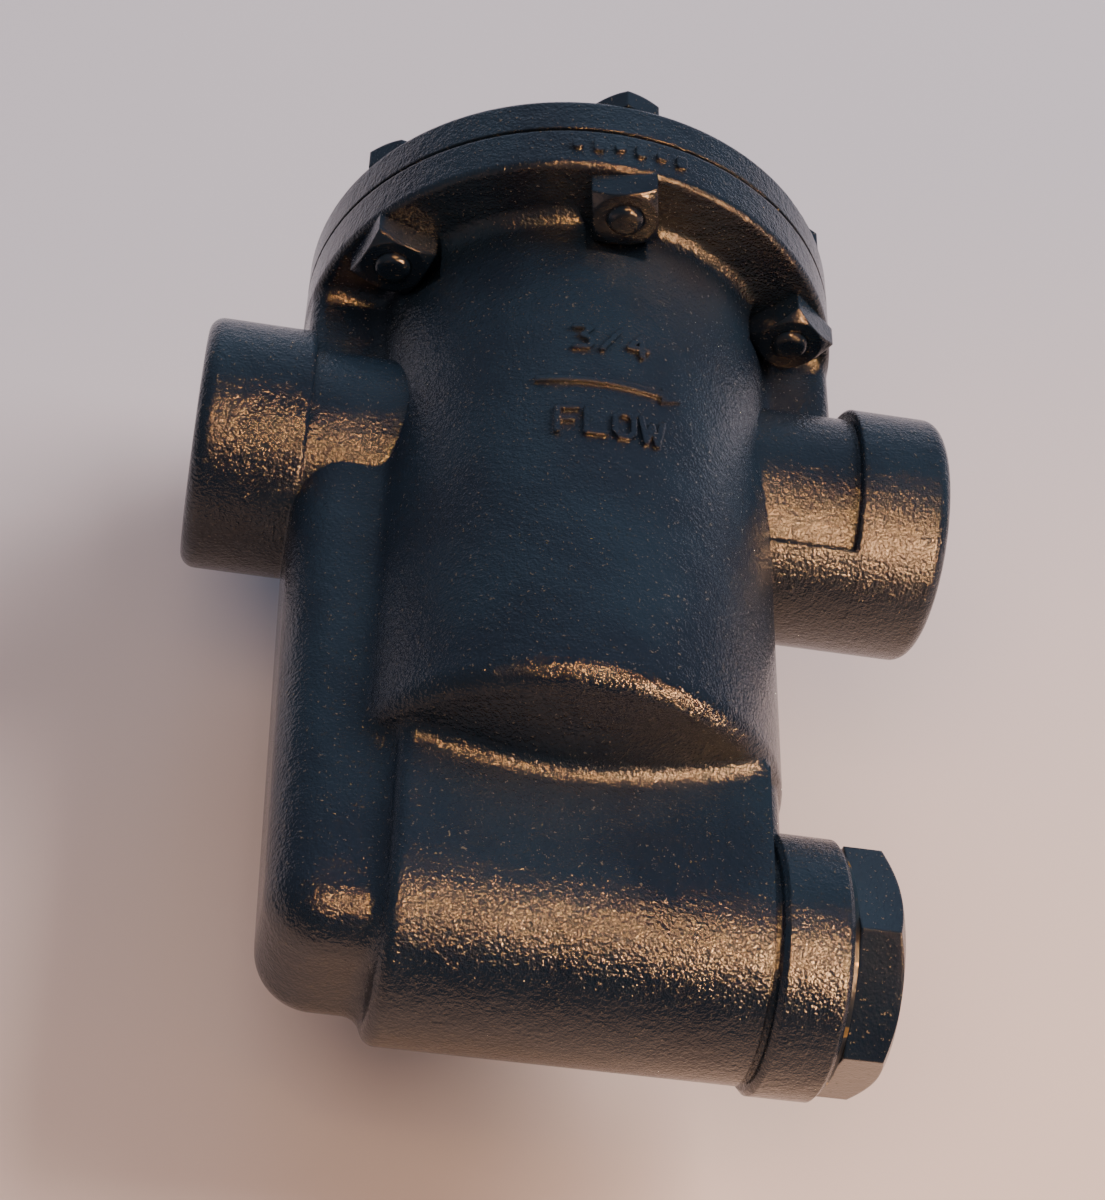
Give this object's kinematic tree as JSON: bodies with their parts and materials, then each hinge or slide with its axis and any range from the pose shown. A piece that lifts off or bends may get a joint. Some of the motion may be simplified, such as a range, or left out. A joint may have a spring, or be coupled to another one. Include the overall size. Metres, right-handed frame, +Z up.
{
  "type": "inverted bucket steam trap",
  "caption": "Cast steam trap with a bolted round cap over a bucket chamber, in-line screwed pipe ends, a side leg and a strainer with a hexagon plug below.",
  "frame": {"origin": "centre of the inlet face, on the pipe axis", "axes": "+X along the pipe from inlet to outlet, +Z up to the cap, front of the trap towards -Y"},
  "size_m": [0.127, 0.0959, 0.1682],
  "materials": {
    "enamel": "gloss enamel on rough casting",
    "enamel_steel": "gloss enamel",
    "stainless": "satin",
    "screen": "perforated sheet, satin",
    "brass": "dull",
    "gasket": "compressed fibre"
  },
  "bodies": {
    "body": {"trap_body": "enamel", "cap": "enamel", "cap_gasket": "gasket", "cap_bolts": "enamel_steel", "cap_nuts": "enamel_steel", "test_plug": "enamel_steel", "valve_seat": "stainless", "pivot_bracket": "stainless", "bracket_screws": "stainless", "pivot_pin": "stainless", "pivot_clips": "stainless", "riser_tube": "stainless"},
    "lever": {"valve_lever": "stainless", "valve": "stainless", "valve_nut": "stainless"},
    "bucket": {"bucket": "stainless", "bucket_clip": "stainless", "clip_rivet": "stainless", "hanger_pin": "stainless"},
    "strainer": {"strainer_screen": "screen", "screen_bands": "screen", "plug_gasket": "brass"},
    "plug": {"strainer_plug": "enamel_steel"}
  },
  "joints": [
    {"name": "lever_pivot", "type": "hinge", "parent": "body", "child": "lever", "pos_m": [0.0815, 0, 0.0225], "axis": [0, 1, 0], "range_deg": [0, 12]},
    {"name": "bucket_hang", "type": "hinge", "parent": "lever", "child": "bucket", "pos_m": [0.0635, 0, 0.0225], "axis": [0, 1, 0], "range_deg": [-12, 0]},
    {"name": "plug_out", "type": "slide", "parent": "body", "child": "strainer", "axis": [1, 0, 0], "range_m": [0, 0.012]},
    {"name": "plug_turn", "type": "hinge", "parent": "strainer", "child": "plug", "pos_m": [0.1059, 0, -0.0899], "axis": [1, 0, 0], "range_deg": [0, 1964]}
  ],
  "couplings": [
    {"joint": "bucket_hang", "follows": "lever_pivot", "ratio": -1},
    {"joint": "plug_turn", "follows": "plug_out", "rad_per_m": 2856}
  ]
}
